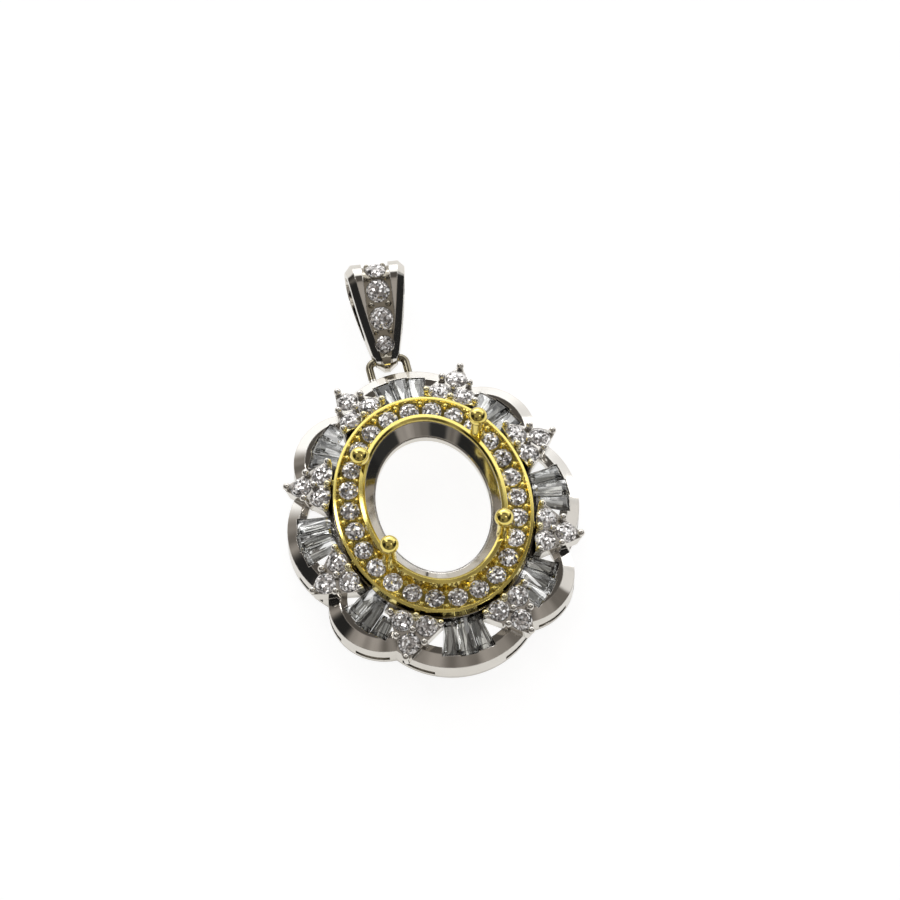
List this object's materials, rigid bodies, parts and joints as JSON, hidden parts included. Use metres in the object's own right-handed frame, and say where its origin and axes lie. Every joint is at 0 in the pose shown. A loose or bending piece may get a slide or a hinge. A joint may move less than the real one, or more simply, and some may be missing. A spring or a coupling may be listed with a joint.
{
  "type": "pendant setting",
  "caption": "Oval pendant setting with an empty prong seat, a channel halo, lobed baguette border with trios of round stones, and a swinging bail.",
  "frame": {"origin": "middle of the oval opening at the back, in the plane that the back rests on", "axes": "+Z out of the front, +Y towards the bail, +X to the right seen from the front"},
  "size_m": [0.0186, 0.0292, 0.0069],
  "materials": {
    "yellow_gold": "polished yellow gold",
    "white_gold": "polished, rhodium plated white gold",
    "baguette_stone": "clear step-cut stone",
    "round_stone": "clear brilliant-cut stone"
  },
  "bodies": {
    "setting": {"baguette_corner_1_1": "baguette_stone", "baguette_corner_1_2": "baguette_stone", "baguette_corner_1_3": "baguette_stone", "baguette_corner_2_1": "baguette_stone", "baguette_corner_2_2": "baguette_stone", "baguette_corner_2_3": "baguette_stone", "baguette_corner_3_1": "baguette_stone", "baguette_corner_3_2": "baguette_stone", "baguette_corner_3_3": "baguette_stone", "baguette_corner_4_1": "baguette_stone", "baguette_corner_4_2": "baguette_stone", "baguette_corner_4_3": "baguette_stone", "baguette_foot_1": "baguette_stone", "baguette_foot_2": "baguette_stone", "baguette_foot_3": "baguette_stone", "baguette_head_1": "baguette_stone", "baguette_head_2": "baguette_stone", "baguette_head_3": "baguette_stone", "baguette_left_1": "baguette_stone", "baguette_left_2": "baguette_stone", "baguette_left_3": "baguette_stone", "baguette_right_1": "baguette_stone", "baguette_right_2": "baguette_stone", "baguette_right_3": "baguette_stone", "gold_halo": "yellow_gold", "halo_stones": "round_stone", "trio_end_1": "round_stone", "trio_end_2": "round_stone", "trio_end_3": "round_stone", "trio_end_4": "round_stone", "trio_side_1": "round_stone", "trio_side_2": "round_stone", "trio_side_3": "round_stone", "trio_side_4": "round_stone", "white_frame": "white_gold"},
    "bail": {"bail": "white_gold", "bail_stone_1": "round_stone", "bail_stone_2": "round_stone", "bail_stone_3": "round_stone", "bail_stone_4": "round_stone"}
  },
  "joints": [
    {"name": "bail_swing", "type": "hinge", "parent": "setting", "child": "bail", "pos_m": [-0.0003, 0.0119, 0.001], "axis": [0.9945, -0.1045, 0], "range_deg": [-90, 90]}
  ]
}
